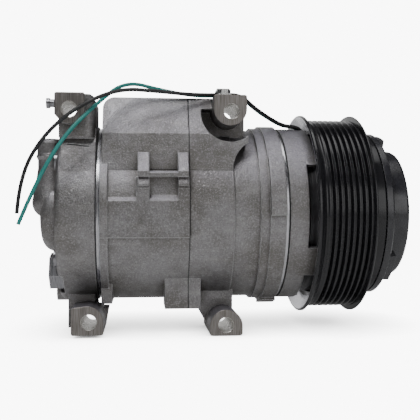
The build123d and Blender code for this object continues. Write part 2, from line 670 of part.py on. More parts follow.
def turned_on_plate(points, origin=(SWASH_X, 0, 0), mode=Mode.ADD):
    """Turns an outline of (height along the plate's axis, radius) points about that axis."""
    with BuildSketch(Plane(origin=origin, x_dir=plate_axis, z_dir=plate_side)) as outline:
        with BuildLine():
            Polyline(*points, close=True)
        make_face()
    revolve(outline.sketch, axis=Axis(origin, plate_axis), mode=mode)


with BuildPart() as drive_shaft:
    shaft = [
        (-140, 0), (-140, SHAFT_R - 1), (-139, SHAFT_R), (-33, SHAFT_R), (-31, SPLINE_R),
        (33, SPLINE_R), (34, SPLINE_R - 1), (34, 0),
    ]
    sector(shaft)
    ring(14, 34, 0, 4.0, mode=Mode.SUBTRACT)
finish(drive_shaft, "drive_shaft")

with BuildPart() as swash_hub:
    ring(SWASH_X - SLEEVE_HALF, SWASH_X + SLEEVE_HALF, 0, 13)
    for side in (-1, 1):
        collar = [(side * 14, 12), (side * 16, 17), (side * SLEEVE_HALF, 17), (side * SLEEVE_HALF, 12)]
        sector([(SWASH_X + x, radius) for x, radius in collar])
    flange_face = -PLATE_HALF - 0.15
    seat = [
        (flange_face - 1.5, 0), (flange_face - 1.5, HUB_FLANGE_R), (flange_face, HUB_FLANGE_R),
        (flange_face, HUB_SEAT_R), (PLATE_HALF, HUB_SEAT_R), (PLATE_HALF, 0),
    ]
    turned_on_plate(seat)
    ring(SWASH_X - SLEEVE_HALF, SWASH_X + SLEEVE_HALF, 0, SHAFT_R, mode=Mode.SUBTRACT)
finish(swash_hub, "swash_hub")

with BuildPart() as swash_plate:
    rim = [
        (-PLATE_HALF, HUB_SEAT_R + RUNNING_GAP), (PLATE_HALF, HUB_SEAT_R + RUNNING_GAP),
        (PLATE_HALF, PLATE_R - 1), (PLATE_HALF - 1, PLATE_R), (-PLATE_HALF + 1, PLATE_R),
        (-PLATE_HALF, PLATE_R - 1),
    ]
    turned_on_plate(rim)
finish(swash_plate, "swash_plate")

SHOE_FLAT = PLATE_HALF + 0.1
SHOE_FLAT_R = sqrt(SHOE_R**2 - SHOE_FLAT**2)
CHEEK_SLOPE = tan(tilt)
CHEEK_START = 4.7
SOCKET_R = SHOE_R + RUNNING_GAP
BRIDGE_INNER_R = 45.2
PISTON_R = BORE_R - PISTON_GAP


def piston_center(index):
    """Where piston number index stands when the shaft is at rest."""
    angle = FIRST_BORE_ANGLE + index * 360 / CYLINDERS
    y, z = around(PITCH_R, angle)
    return (SWASH_X - CHEEK_SLOPE * z, y, z)


def shoe(center, side):
    """Half-ball that slides on one face of the plate; side is +1 at the front, -1 at the rear."""
    with BuildSketch(Plane(origin=center, x_dir=plate_axis, z_dir=plate_side)) as outline:
        with BuildLine():
            flat = Line((side * SHOE_FLAT, 0), (side * SHOE_FLAT, SHOE_FLAT_R))
            top = (side * SHOE_R, 0)
            middle = (side * SHOE_R * cos(pi / 6), SHOE_R * sin(pi / 6))
            ThreePointArc(flat @ 1, middle, top)
            Line(top, (side * SHOE_FLAT, 0))
        make_face()
    revolve(outline.sketch, axis=Axis(center, plate_axis))


def piston_head(center, side):
    """One head of a double-headed piston, with its shoe socket towards the middle."""
    slope = CHEEK_SLOPE
    reach = 1 + slope**2
    socket_edge = (-CHEEK_START * slope + sqrt(reach * SOCKET_R**2 - CHEEK_START**2)) / reach
    socket_x = CHEEK_START + slope * socket_edge
    half_turn = atan(socket_edge / socket_x) / 2
    cheek_end = CHEEK_START + slope * PISTON_R
    with BuildSketch(Plane(origin=center, x_dir=(1, 0, 0), z_dir=(0, -1, 0))) as outline:
        with BuildLine():
            arc_middle = (side * SOCKET_R * cos(half_turn), SOCKET_R * sin(half_turn))
            ThreePointArc((side * SOCKET_R, 0), arc_middle, (side * socket_x, socket_edge))
            Polyline(
                (side * socket_x, socket_edge), (side * cheek_end, PISTON_R), (side * 38, PISTON_R),
                (side * 38, PISTON_R - 1), (side * 39.6, PISTON_R - 1), (side * 39.6, PISTON_R),
                (side * PISTON_HALF, PISTON_R), (side * PISTON_HALF, 0), (side * SOCKET_R, 0),
            )
        make_face()
    revolve(outline.sketch, axis=Axis(center, (1, 0, 0)))


for index in range(CYLINDERS):
    center = piston_center(index)
    for side, word in ((-1, "rear"), (1, "front")):
        with BuildPart() as one_shoe:
            shoe(center, side)
        finish(one_shoe, f"{word}_shoe_{index + 1}")
    with BuildPart() as piston:
        piston_head(center, -1)
        piston_head(center, 1)
        with BuildSketch(Plane.YZ.offset(center[0] - 11)):
            with Locations((center[1], center[2])):
                Circle(PISTON_R)
            Circle(BRIDGE_INNER_R, mode=Mode.SUBTRACT)
        extrude(amount=22)
    finish(piston, f"piston_{index + 1}")


# ================= Coil =================
COIL_REAR_X = -19.5
COIL_FRONT_X = 13.5
COIL_OUTER_R = 51.0
COIL_INNER_R = 36.2
with BuildPart() as coil_shell:
    ring(COIL_SEAT_X, COIL_REAR_X, 25, 49.5)
    shell = [
        (COIL_REAR_X, COIL_INNER_R), (COIL_FRONT_X, COIL_INNER_R), (COIL_FRONT_X, 38.6), (-17, 38.6),
        (-17, 48.6), (COIL_FRONT_X, 48.6), (COIL_FRONT_X, COIL_OUTER_R), (-17.5, COIL_OUTER_R),
        (COIL_REAR_X, 49.5),
    ]
    sector(shell)
    # Notch where the leads enter
    box_between((-20.5, -12.5, 46.5), (-14.5, -5.1, 53), mode=Mode.SUBTRACT)
finish(coil_shell, "coil_shell")

with BuildPart() as coil_winding:
    ring(-17, 11.5, 38.6, 48.6)
    box_between((-18, -13, 46.5), (-14.5, -5, 49), mode=Mode.SUBTRACT)
finish(coil_winding, "coil_winding")

with BuildPart() as coil_snap_ring:
    ring(-19.5, -17.9, 23.8, 28.4, 8, 352)
finish(coil_snap_ring, "coil_snap_ring")

with BuildPart() as pulley_snap_ring:
    ring(12.1, 13.7, 18.8, 23.2, 10, 350)
finish(pulley_snap_ring, "pulley_snap_ring")


# ================= Pulley and its bearing =================
RACE_INNER_R = 24.0
RACE_OUTER_R = 27.3
BALL_R = 3.2
BALL_PITCH_R = (RACE_INNER_R + RACE_OUTER_R) / 2
BALL_ROWS = (-5.6, 5.6)
with BuildPart() as pulley:
    body = [
        (PULLEY_REAR_X, 62.6), (PULLEY_REAR_X, FLANGE_R - 0.6), (PULLEY_REAR_X + 0.6, FLANGE_R),
        (-18.2, FLANGE_R), (-14.6, CREST_R - 0.6), (-13.8, CREST_R - 0.6),
    ]
    half_width = GROOVES * GROOVE_PITCH / 2
    crest = 0.45
    root = 0.35
    for groove in range(GROOVES):
        left = -half_width + groove * GROOVE_PITCH
        right = left + GROOVE_PITCH
        middle = (left + right) / 2
        body += [
            (left - crest if groove == 0 else left, CREST_R), (left + crest, CREST_R),
            (middle - root, ROOT_R), (middle + root, ROOT_R), (right - crest, CREST_R),
        ]
    body += [
        (half_width + crest, CREST_R), (half_width + crest, CREST_R - 0.4), (13.3, CREST_R - 0.4),
        (13.9, FLANGE_R), (FLANGE_FRONT_X - 0.4, FLANGE_R), (FLANGE_FRONT_X, FLANGE_R - 0.4),
        (FLANGE_FRONT_X, 57.5), (16.6, 56), (16.6, CLUTCH_R), (ROTOR_FACE_X - 0.5, CLUTCH_R),
        (ROTOR_FACE_X, CLUTCH_R - 0.5), (ROTOR_FACE_X, 27.5), (13.2, 27.5), (13.2, BEARING_BORE_R),
        (-13.2, BEARING_BORE_R), (-13.2, ROTOR_HUB_R), (CHANNEL_END_X, ROTOR_HUB_R),
        (CHANNEL_END_X, RIM_BORE_R), (-12.5, RIM_BORE_R), (-14.5, 55),
    ]
    sector(body)
    # Curved slots through the friction face, in two circles
    for count, inner, outer, first in ((3, 38.6, 41.0, 0), (6, 45.4, 47.8, 30)):
        for index in range(count):
            middle = first + index * 360 / count
            reach = 180 / count - 9
            ring(CHANNEL_END_X - 1, ROTOR_FACE_X + 1, inner, outer, middle - reach, middle + reach,
                 mode=Mode.SUBTRACT)
finish(pulley, "pulley")


def race_grooves():
    """Ball tracks of both rows, cut a little wider than the balls."""
    for x in BALL_ROWS:
        with BuildSketch(Plane.XZ) as track:
            with Locations((x, BALL_PITCH_R)):
                Circle(BALL_R + 0.06)
        revolve(track.sketch, axis=Axis.X, mode=Mode.SUBTRACT)


with BuildPart() as bearing_inner_ring:
    ring(-BEARING_HALF, BEARING_HALF, NOSE_R, RACE_INNER_R)
    race_grooves()
finish(bearing_inner_ring, "bearing_inner_ring")

with BuildPart() as bearing_outer_ring:
    ring(-BEARING_HALF, BEARING_HALF, RACE_OUTER_R, BEARING_BORE_R)
    race_grooves()
finish(bearing_outer_ring, "bearing_outer_ring")

with BuildPart() as bearing_balls:
    for x in BALL_ROWS:
        with Locations(Plane.YZ.offset(x)):
            with PolarLocations(BALL_PITCH_R, 18):
                Sphere(BALL_R)
finish(bearing_balls, "bearing_balls")

with BuildPart() as bearing_seals:
    ring(-BEARING_HALF, -BEARING_HALF + 1.4, RACE_INNER_R + 0.2, RACE_OUTER_R)
    ring(BEARING_HALF - 1.4, BEARING_HALF, RACE_INNER_R + 0.2, RACE_OUTER_R)
finish(bearing_seals, "bearing_seals")


# ================= Clutch armature =================
with BuildPart() as armature_plate:
    face = [
        (ARMATURE_X, 28), (ARMATURE_FACE_X, 28), (ARMATURE_FACE_X, CLUTCH_R - 0.8),
        (ARMATURE_FACE_X - 0.8, CLUTCH_R), (ARMATURE_X, CLUTCH_R),
    ]
    sector(face)
    for index in range(3):
        middle = FIRST_LOBE_ANGLE + 60 + index * 120
        ring(ARMATURE_X, ARMATURE_FACE_X, 42.6, 44.6, middle - 46, middle + 46, mode=Mode.SUBTRACT)
finish(armature_plate, "armature_plate")

with BuildPart() as armature_ring:
    cup = [
        (ARMATURE_FACE_X, 37), (36.5, 37), (36.5, 38.4), (31, 38.4), (30.6, 38.8), (30.6, 46.5),
        (ARMATURE_FACE_X, 46.5),
    ]
    sector(cup)
    for index in range(3):
        middle = FIRST_LOBE_ANGLE + index * 120
        ring(ARMATURE_FACE_X, LOBE_X, 44, LOBE_R, middle - LOBE_HALF_ANGLE, middle + LOBE_HALF_ANGLE)
        with BuildSketch(Plane.YZ.offset(LOBE_X)):
            with Locations(around(47.5, middle)):
                Circle(2.6)
        extrude(amount=1.0)
finish(armature_ring, "armature_ring")


# ================= Clutch hub =================
with BuildPart() as clutch_hub:
    hub = [
        (19.5, SPLINE_R), (19.5, 12), (20.5, 13), (29.6, 13), (29.6, 31), (36.5, 31), (36.5, 29),
        (33, 29), (33, 13), (37, 13), (37, SPLINE_R),
    ]
    sector(hub)
finish(clutch_hub, "clutch_hub")

with BuildPart() as hub_damper:
    ring(30.6, 36.2, 31, 36.6)
finish(hub_damper, "hub_damper")

with BuildPart() as hub_cover:
    cover = [
        (33, 13.1), (COVER_FACE_X - 1.5, 13.1), (COVER_FACE_X - 1.5, 17), (COVER_FACE_X - 2.6, 19),
        (COVER_FACE_X - 2.6, 26), (COVER_FACE_X - 1.4, 28), (COVER_FACE_X, 29), (COVER_FACE_X, COVER_R - 2.0),
        (COVER_FACE_X - 0.6, COVER_R - 0.6), (COVER_FACE_X - 2.0, COVER_R), (31.6, COVER_R),
        (31.6, 39.2), (40.2, 39.2), (40.2, 29), (38.2, 26), (38.2, 15.2), (33, 15.2),
    ]
    sector(cover)
finish(hub_cover, "hub_cover")

with BuildPart() as hub_bolt:
    ring(16, 37, 0, 3.9)
    ring(37, 38.6, 0, 11)
    with BuildSketch(Plane.YZ.offset(38.6)):
        RegularPolygon(radius=6, side_count=6, major_radius=False)
    extrude(amount=4)
finish(hub_bolt, "hub_bolt")


# ================= Leads, clip and grommet =================
# Routes of the two leads, from the cut end to the coil: (x, y, z)
BLACK_ROUTE = [
    (-190.0, -62, 0.0), (-188.5, -62, 20.0), (-176.5, -61, 43.0), (-157.0, -59, 60.5),
    (-134.0, -54, 71.5), (-112.0, -47, 71.3), (-92.0, -40, 70.8), (CLIP_X, CLIP_Y, LEAD_Z),
    (-60.5, -27.5, 73.4), (-50.5, -20.5, 66.2), (-39.5, -14, 60.6), (-30.5, -10.8, 56.6),
    (-23.5, -10.4, 56.2), (COIL_ENTRY_X, -10.4, 54.0), (COIL_ENTRY_X, -10.4, GROMMET_TOP_Z),
]
GREEN_ROUTE = [
    (-189.0, -64, -6.0), (-179.5, -64, 17.0), (-165.0, -61, 43.0), (-147.0, -54, 62.6),
    (-131.0, -42, 78.0), (-109.0, -38, 73.4), (-90.0, -35, 70.8), (CLIP_X, CLIP_Y + LEAD_PITCH, LEAD_Z),
    (-60.5, -24.3, 73.4), (-50.5, -17.3, 66.2), (-39.5, -10.8, 60.6), (-30.5, -7.6, 56.6),
    (-23.5, -7.2, 56.2), (COIL_ENTRY_X, -7.2, 54.0), (COIL_ENTRY_X, -7.2, GROMMET_TOP_Z),
]


def lead_radii(route):
    """Arc radius at each corner of a route: as large as its two runs allow."""
    points = [Vector(*point) for point in route]
    radii = []
    for before, corner, after in zip(points, points[1:], points[2:]):
        incoming = corner - before
        outgoing = after - corner
        half_turn = radians(incoming.get_angle(outgoing)) / 2
        radii.append(0.45 * min(incoming.length, outgoing.length) / tan(half_turn))
    return radii


def lead(route, name):
    """Round wire along straight runs joined by arcs."""
    radii = lead_radii(route)
    with BuildPart() as wire:
        with BuildLine() as path:
            FilletPolyline(*route, radius=radii)
        middle_line = path.wire()
        with BuildSketch(Plane(origin=middle_line @ 0, z_dir=middle_line % 0)):
            Circle(WIRE_R)
        sweep(path=middle_line)
    length = middle_line.length
    expected = pi * WIRE_R**2 * length
    print(name, "radii", [round(value, 1) for value in radii])
    print(name, "length", round(length, 1), "volume ratio", round(wire.part.volume / expected, 4))
    finish(wire, name)


lead(BLACK_ROUTE, "lead_black")
lead(GREEN_ROUTE, "lead_green")

with BuildPart() as coil_grommet:
    box_between((-19.5, -12.2, 47), (-14.6, -5.4, GROMMET_TOP_Z))
finish(coil_grommet, "coil_grommet")

with BuildPart() as lead_clip:
    # Flat foot under the screw, and a bridge over the two leads
    low = LUG_TOP_Z
    roof = low + CLIP_OPENING
    near = CLIP_Y - 4.0
    far = CLIP_Y + 7.6
    bridge = [
        (-48.6, low), (near, low), (near, roof), (far, roof), (far, low), (far + CLIP_SHEET, low),
        (far + CLIP_SHEET, roof + CLIP_SHEET), (near - CLIP_SHEET, roof + CLIP_SHEET),
        (near - CLIP_SHEET, low + CLIP_SHEET), (-48.6, low + CLIP_SHEET),
    ]
    block_on(Plane.YZ.offset(CLIP_X - CLIP_WIDTH / 2), CLIP_WIDTH, bridge)
    with Locations((CLIP_X, SCREW_Y, low)):
        Cylinder(2.1, 4, mode=Mode.SUBTRACT)
finish(lead_clip, "lead_clip")

with BuildPart() as clip_screw:
    with BuildSketch(Plane.XY.offset(LUG_TOP_Z + CLIP_SHEET)):
        with Locations((CLIP_X, SCREW_Y)):
            RegularPolygon(radius=3.4, side_count=6, major_radius=False)
    extrude(amount=2.8)
    with BuildSketch(Plane.XY.offset(LUG_TOP_Z + CLIP_SHEET)):
        with Locations((CLIP_X, SCREW_Y)):
            Circle(1.95)
    extrude(amount=-4.5)
finish(clip_screw, "clip_screw")
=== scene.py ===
import json
import math

import bpy
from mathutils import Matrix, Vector


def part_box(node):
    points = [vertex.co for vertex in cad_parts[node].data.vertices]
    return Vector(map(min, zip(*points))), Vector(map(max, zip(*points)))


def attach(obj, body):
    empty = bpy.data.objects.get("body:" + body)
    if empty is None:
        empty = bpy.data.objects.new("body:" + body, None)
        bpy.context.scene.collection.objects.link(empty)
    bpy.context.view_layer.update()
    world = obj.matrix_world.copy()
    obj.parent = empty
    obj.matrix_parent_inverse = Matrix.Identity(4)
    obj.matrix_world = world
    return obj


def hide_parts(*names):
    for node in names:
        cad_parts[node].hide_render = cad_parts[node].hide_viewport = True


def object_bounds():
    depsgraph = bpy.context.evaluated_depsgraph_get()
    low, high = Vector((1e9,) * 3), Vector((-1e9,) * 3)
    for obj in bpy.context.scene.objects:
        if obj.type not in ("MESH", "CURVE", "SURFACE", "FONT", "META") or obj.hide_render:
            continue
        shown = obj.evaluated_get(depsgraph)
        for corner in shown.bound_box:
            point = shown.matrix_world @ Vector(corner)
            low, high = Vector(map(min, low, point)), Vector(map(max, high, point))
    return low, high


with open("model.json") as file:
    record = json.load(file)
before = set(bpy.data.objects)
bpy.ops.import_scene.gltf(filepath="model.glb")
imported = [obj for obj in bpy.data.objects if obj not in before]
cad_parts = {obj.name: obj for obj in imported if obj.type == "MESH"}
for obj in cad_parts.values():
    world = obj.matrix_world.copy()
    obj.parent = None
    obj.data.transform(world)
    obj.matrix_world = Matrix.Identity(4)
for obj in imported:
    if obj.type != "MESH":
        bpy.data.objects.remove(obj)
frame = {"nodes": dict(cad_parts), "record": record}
cad_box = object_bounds()
nodes = frame["nodes"]

MM = 0.001


# ================= Camera, lights and floor =================
EYE = Vector((-121.2, -455.0, 2.0)) * MM
HEADING = math.radians(5.57)
LENS = 59.743
SENSOR = 36.0
MIDDLE = (-0.08, 0, 0)
SURROUNDINGS = 0.06
BACKDROP = 9.0


def add_camera():
    """Camera level with the shaft, looking a little towards the clutch."""
    data = bpy.data.cameras.new("camera")
    data.lens = LENS
    data.sensor_width = SENSOR
    data.clip_start = 0.01
    camera = bpy.data.objects.new("camera", data)
    camera.location = EYE
    camera.rotation_euler = (math.radians(90), 0, -HEADING)
    bpy.context.scene.collection.objects.link(camera)
    bpy.context.scene.camera = camera


def add_area_light(name, place, target, size, power):
    """Square area light at place, aimed at target; both in metres."""
    data = bpy.data.lights.new(name, "AREA")
    data.size = size
    data.energy = power
    light = bpy.data.objects.new(name, data)
    light.location = place
    aim = Vector(target) - Vector(place)
    light.rotation_euler = aim.to_track_quat("-Z", "Y").to_euler()
    bpy.context.scene.collection.objects.link(light)


def add_world(strength, backdrop):
    """Even soft surroundings, with a white backdrop wherever the camera sees past the object."""
    world = bpy.data.worlds.new("studio")
    world.use_nodes = True
    tree = world.node_tree
    around = tree.nodes["Background"]
    around.inputs["Color"].default_value = (0.95, 0.95, 1.0, 1)
    around.inputs["Strength"].default_value = strength
    white = tree.nodes.new("ShaderNodeBackground")
    white.inputs["Color"].default_value = (1, 1, 1, 1)
    white.inputs["Strength"].default_value = backdrop
    rays = tree.nodes.new("ShaderNodeLightPath")
    mix = tree.nodes.new("ShaderNodeMixShader")
    tree.links.new(rays.outputs["Is Camera Ray"], mix.inputs[0])
    tree.links.new(around.outputs[0], mix.inputs[1])
    tree.links.new(white.outputs[0], mix.inputs[2])
    tree.links.new(mix.outputs[0], tree.nodes["World Output"].inputs["Surface"])
    bpy.context.scene.world = world


add_camera()
add_world(SURROUNDINGS, BACKDROP)
# Name, place, width of the square, power
AREA_LIGHTS = [
    ("key", (-0.35, -0.45, 0.8), 0.35, 4.4),
    ("top", (0.1, 0.0, 1.0), 0.5, 2.0),
    ("fill", (0.35, -1.0, 0.3), 0.6, 1.7),
    ("back", (-0.1, 0.9, 0.25), 0.9, 2.4),
]
for light_name, light_place, light_size, light_power in AREA_LIGHTS:
    add_area_light(light_name, light_place, MIDDLE, light_size, light_power)


# ================= Shader building blocks =================
class Shader:
    """One material: a Principled surface and the nodes that drive it."""

    def __init__(self, name, color, metallic=0.0, roughness=0.5):
        self.material = bpy.data.materials.new(name)
        self.material.use_nodes = True
        self.tree = self.material.node_tree
        self.surface = self.tree.nodes["Principled BSDF"]
        self.surface.inputs["Base Color"].default_value = (*color, 1)
        self.surface.inputs["Metallic"].default_value = metallic
        self.surface.inputs["Roughness"].default_value = roughness
        self.place = self.add("ShaderNodeTexCoord").outputs["Object"]
        self.geometry = self.add("ShaderNodeNewGeometry")

    def add(self, kind, **settings):
        node = self.tree.nodes.new(kind)
        for key, value in settings.items():
            setattr(node, key, value)
        return node

    def feed(self, socket, value):
        """Sets a socket to a number or colour, or links another socket to it."""
        if isinstance(value, bpy.types.NodeSocket):
            self.tree.links.new(value, socket)
        else:
            socket.default_value = value

    def set(self, name, value):
        self.feed(self.surface.inputs[name], value)

    def math(self, operation, first, second=0.0):
        node = self.add("ShaderNodeMath", operation=operation)
        self.feed(node.inputs[0], first)
        self.feed(node.inputs[1], second)
        return node.outputs[0]

    def scaled(self, x=1.0, y=1.0, z=1.0):
        """The place on the object, stretched along each axis."""
        node = self.add("ShaderNodeMapping")
        self.feed(node.inputs["Vector"], self.place)
        node.inputs["Scale"].default_value = (x, y, z)
        return node.outputs[0]

    def noise(self, size, detail=2.0, rough=0.5, vector=None):
        """Cloudy noise whose blobs are about size millimetres across."""
        node = self.add("ShaderNodeTexNoise")
        self.feed(node.inputs["Vector"], vector or self.place)
        node.inputs["Scale"].default_value = 1 / (size * MM)
        node.inputs["Detail"].default_value = detail
        node.inputs["Roughness"].default_value = rough
        return node.outputs["Fac"]

    def cells(self, size):
        """Distance to the nearest of scattered points, size millimetres apart."""
        node = self.add("ShaderNodeTexVoronoi")
        self.feed(node.inputs["Vector"], self.place)
        node.inputs["Scale"].default_value = 1 / (size * MM)
        return node.outputs["Distance"]

    def spread(self, value, low, high, new_low=0.0, new_high=1.0):
        """Stretches low..high to new_low..new_high, and clamps."""
        node = self.add("ShaderNodeMapRange")
        self.feed(node.inputs["Value"], value)
        node.inputs["From Min"].default_value = low
        node.inputs["From Max"].default_value = high
        node.inputs["To Min"].default_value = new_low
        node.inputs["To Max"].default_value = new_high
        return node.outputs["Result"]

    def mix(self, factor, first, second):
        """Blend of two colours."""
        node = self.add("ShaderNodeMix", data_type="RGBA")
        self.feed(node.inputs["Factor"], factor)
        colors = [socket for socket in node.inputs if socket.type == "RGBA"]
        for socket, value in zip(colors, (first, second)):
            self.feed(socket, (*value, 1) if isinstance(value, tuple) else value)
        return [socket for socket in node.outputs if socket.type == "RGBA"][0]

    def axes(self, vector):
        node = self.add("ShaderNodeSeparateXYZ")
        self.feed(node.inputs[0], vector)
        return node.outputs

    def radius(self):
        """Distance from the shaft axis, in metres."""
        _, y, z = self.axes(self.place)
        square = self.math("ADD", self.math("MULTIPLY", y, y), self.math("MULTIPLY", z, z))
        return self.math("SQRT", square)

    def rounded(self, radius):
        """Normal with every edge rounded to this radius in millimetres."""
        node = self.add("ShaderNodeBevel", samples=6)
        node.inputs["Radius"].default_value = radius * MM
        return node.outputs[0]

    def edges(self, radius):
        """1 on edges, 0 on open faces."""
        dot = self.add("ShaderNodeVectorMath", operation="DOT_PRODUCT")
        self.feed(dot.inputs[0], self.rounded(radius))
        self.feed(dot.inputs[1], self.geometry.outputs["Normal"])
        return self.spread(dot.outputs["Value"], 0.995, 0.8)

    def bump(self, height, depth, normal=None):
        """Normal raised by height, depth millimetres at most."""
        node = self.add("ShaderNodeBump")
        node.inputs["Strength"].default_value = 1.0
        node.inputs["Distance"].default_value = depth * MM
        self.feed(node.inputs["Height"], height)
        if normal is not None:
            self.feed(node.inputs["Normal"], normal)
        return node.outputs[0]


def near(shader, value, target, width):
    """1 where value is within width of target, else 0."""
    node = shader.add("ShaderNodeMath", operation="COMPARE")
    shader.feed(node.inputs[0], value)
    node.inputs[1].default_value = target
    node.inputs[2].default_value = width
    return node.outputs[0]


# ================= Materials =================
CREASE_SHADE_REACH = 0.008
JOINT_LINE_HALF = 0.00035
# The machined lug faces: their plane, its tolerance, and how far above or below the axis they start
LUG_FACE_Y = -0.05
LUG_FACE_HALF = 0.0003
LUG_FACE_FROM = 0.0505
HOLE_MARGIN = 0.0002
# The turned cone inside the pulley's rear flange
CONE_FRONT_X = -0.0142
CONE_RADIUS = 0.0631
WINDING_BANDS = 320


def lug_holes():
    """The x, z and radius of each lug's hole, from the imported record's mounts."""
    found = []
    for mount in frame["record"]["mounts"]:
        if mount["name"].endswith("_lug"):
            x, _, z = mount["pos_m"]
            found.append((x, z, mount["dims"]["r_mm"] * MM))
    return found


def cast_aluminium():
    """Die-cast casing: grey with coarse grain, painted light that makes upward faces lighter and
    violet, painted shade in the corners, light edges that are partly wear and partly painted
    highlight, and machined lug faces."""
    s = Shader("cast_aluminium", (0.3, 0.3, 0.31), metallic=0.82, roughness=0.46)
    patches = s.noise(30, detail=4, rough=0.6)
    grain = s.noise(0.9, detail=3, rough=0.65)
    coarse = s.noise(3.2, detail=3, rough=0.6)
    x, y, z = s.axes(s.place)
    facing_x, facing_y, facing_z = s.axes(s.geometry.outputs["Normal"])
    color = s.mix(s.spread(patches, 0.36, 0.62), (0.19, 0.18, 0.172), (0.31, 0.303, 0.31))
    # Painted light: faces turned upwards are lighter and violet, as if lit from above.
    color = s.mix(s.spread(facing_z, 0.25, 0.75, 0, 0.7), color, (0.34, 0.325, 0.385))
    smears = s.noise(9, detail=5, rough=0.7, vector=s.scaled(0.5, 1.0, 1.6))
    color = s.mix(s.spread(smears, 0.5, 0.75, 0, 0.5), color, (0.42, 0.41, 0.4))
    color = s.mix(s.spread(coarse, 0.42, 0.72, 0, 0.3), color, (0.16, 0.152, 0.145))
    color = s.mix(s.spread(grain, 0.52, 0.74, 0, 0.6), color, (0.58, 0.58, 0.6))
    color = s.mix(s.spread(grain, 0.28, 0.42, 0.45, 0), color, (0.12, 0.116, 0.112))
    pits = s.spread(s.cells(2.4), 0.03, 0.13, 0.7, 0)
    color = s.mix(pits, color, (0.09, 0.088, 0.085))
    # Painted shade: colour darkened in creases and corners, driven by ambient occlusion.
    corners = s.add("ShaderNodeAmbientOcclusion", samples=8)
    corners.inputs["Distance"].default_value = CREASE_SHADE_REACH
    crease_shade = s.spread(corners.outputs["AO"], 0.45, 0.95, 0.75, 0)
    color = s.mix(crease_shade, color, (0.1, 0.092, 0.082))
    # Light edges: partly wear, partly a painted highlight along every rounded edge.
    wear_and_edge_highlight = s.math("MULTIPLY", s.edges(0.8), s.spread(coarse, 0.3, 0.55, 0.25, 1))
    color = s.mix(s.math("MULTIPLY", wear_and_edge_highlight, 0.85), color, (0.8, 0.8, 0.82))
    joint_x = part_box("rear_cylinder_block")[1][0]
    joint_line = near(s, x, joint_x, JOINT_LINE_HALF)
    color = s.mix(s.math("MULTIPLY", joint_line, 0.8), color, (0.03, 0.03, 0.03))
    rough = s.spread(s.noise(6, detail=3), 0.3, 0.7, 0.36, 0.5)
    # Machined lug faces, and the bright walls of their holes, partly bare bored metal and partly
    # painted reflection
    outside = s.math("GREATER_THAN", s.math("ABSOLUTE", z), LUG_FACE_FROM)
    on_plane = s.math("MULTIPLY", near(s, y, LUG_FACE_Y, LUG_FACE_HALF), outside)
    machined = s.math("MULTIPLY", on_plane, s.math("LESS_THAN", facing_y, -0.9))
    lines = s.noise(0.5, detail=1, vector=s.scaled(1.0, 1.0, 0.04))
    face = s.mix(s.spread(lines, 0.3, 0.7), (0.17, 0.155, 0.142), (0.32, 0.3, 0.285))
    color = s.mix(machined, color, face)
    hole_wall_sheen = 0.0
    for hole_x, hole_z, hole_r in lug_holes():
        across = s.math("SUBTRACT", x, hole_x)
        up = s.math("SUBTRACT", z, hole_z)
        square = s.math("ADD", s.math("MULTIPLY", across, across), s.math("MULTIPLY", up, up))
        inside = s.math("LESS_THAN", square, (hole_r + HOLE_MARGIN) ** 2)
        hole_wall_sheen = s.math("MAXIMUM", inside, hole_wall_sheen)
    # Hole walls: bare bored metal made lighter by a painted reflection.
    color = s.mix(hole_wall_sheen, color, (0.62, 0.6, 0.56))
    rough = s.math("SUBTRACT", rough, s.math("MULTIPLY", hole_wall_sheen, 0.15))
    s.set("Base Color", color)
    s.set("Roughness", rough)
    height = s.math("ADD", grain, s.math("MULTIPLY", coarse, 1.2))
    height = s.math("MULTIPLY", height, s.math("SUBTRACT", 1.0, machined))
    s.set("Normal", s.bump(height, 0.3, s.rounded(1.0)))
    return s.material


def machined_steel(name, color, roughness, streak=0.5):
    """Bare or plated steel with fine turning marks and faint stains."""
    s = Shader(name, color, metallic=0.95, roughness=roughness)
    dark = tuple(c * 0.55 for c in color)
    marks = s.noise(streak, detail=3, vector=s.scaled(1.0, 0.06, 0.06))
    tone = s.mix(s.spread(marks, 0.3, 0.7), dark, color)
    tone = s.mix(s.spread(s.noise(14, detail=4), 0.5, 0.8, 0, 0.5), tone, dark)
    s.set("Base Color", tone)
    s.set("Roughness", s.spread(marks, 0.3, 0.7, roughness * 0.8, roughness * 1.3))
    s.set("Normal", s.bump(marks, 0.02, s.rounded(0.25)))
    return s.material


def black_paint(name, color, roughness, coat, edge=0.35):
    """Dipped or painted black with a thin light line along its edges, partly wear and partly painted
    highlight.
    """
    s = Shader(name, color, roughness=roughness)
    soft = tuple(min(1, c * 2.4 + 0.01) for c in color)
    tone = s.mix(s.spread(s.noise(9, detail=4), 0.4, 0.75, 0, 0.6), color, soft)
    # Light edge line: partly wear, partly painted highlight.
    wear_and_edge_highlight = s.math("MULTIPLY", s.edges(edge), s.spread(s.noise(2.5, detail=4), 0.42, 0.62))
    tone = s.mix(s.math("MULTIPLY", wear_and_edge_highlight, 0.5), tone, (0.2, 0.2, 0.21))
    s.set("Base Color", tone)
    s.set("Roughness", s.spread(s.noise(4, detail=3), 0.3, 0.7, roughness * 0.8, roughness * 1.25))
    s.surface.inputs["Coat Weight"].default_value = coat
    s.surface.inputs["Coat Roughness"].default_value = 0.18
    s.set("Normal", s.bump(s.noise(1.2, detail=2), 0.02, s.rounded(edge)))
    return s.material


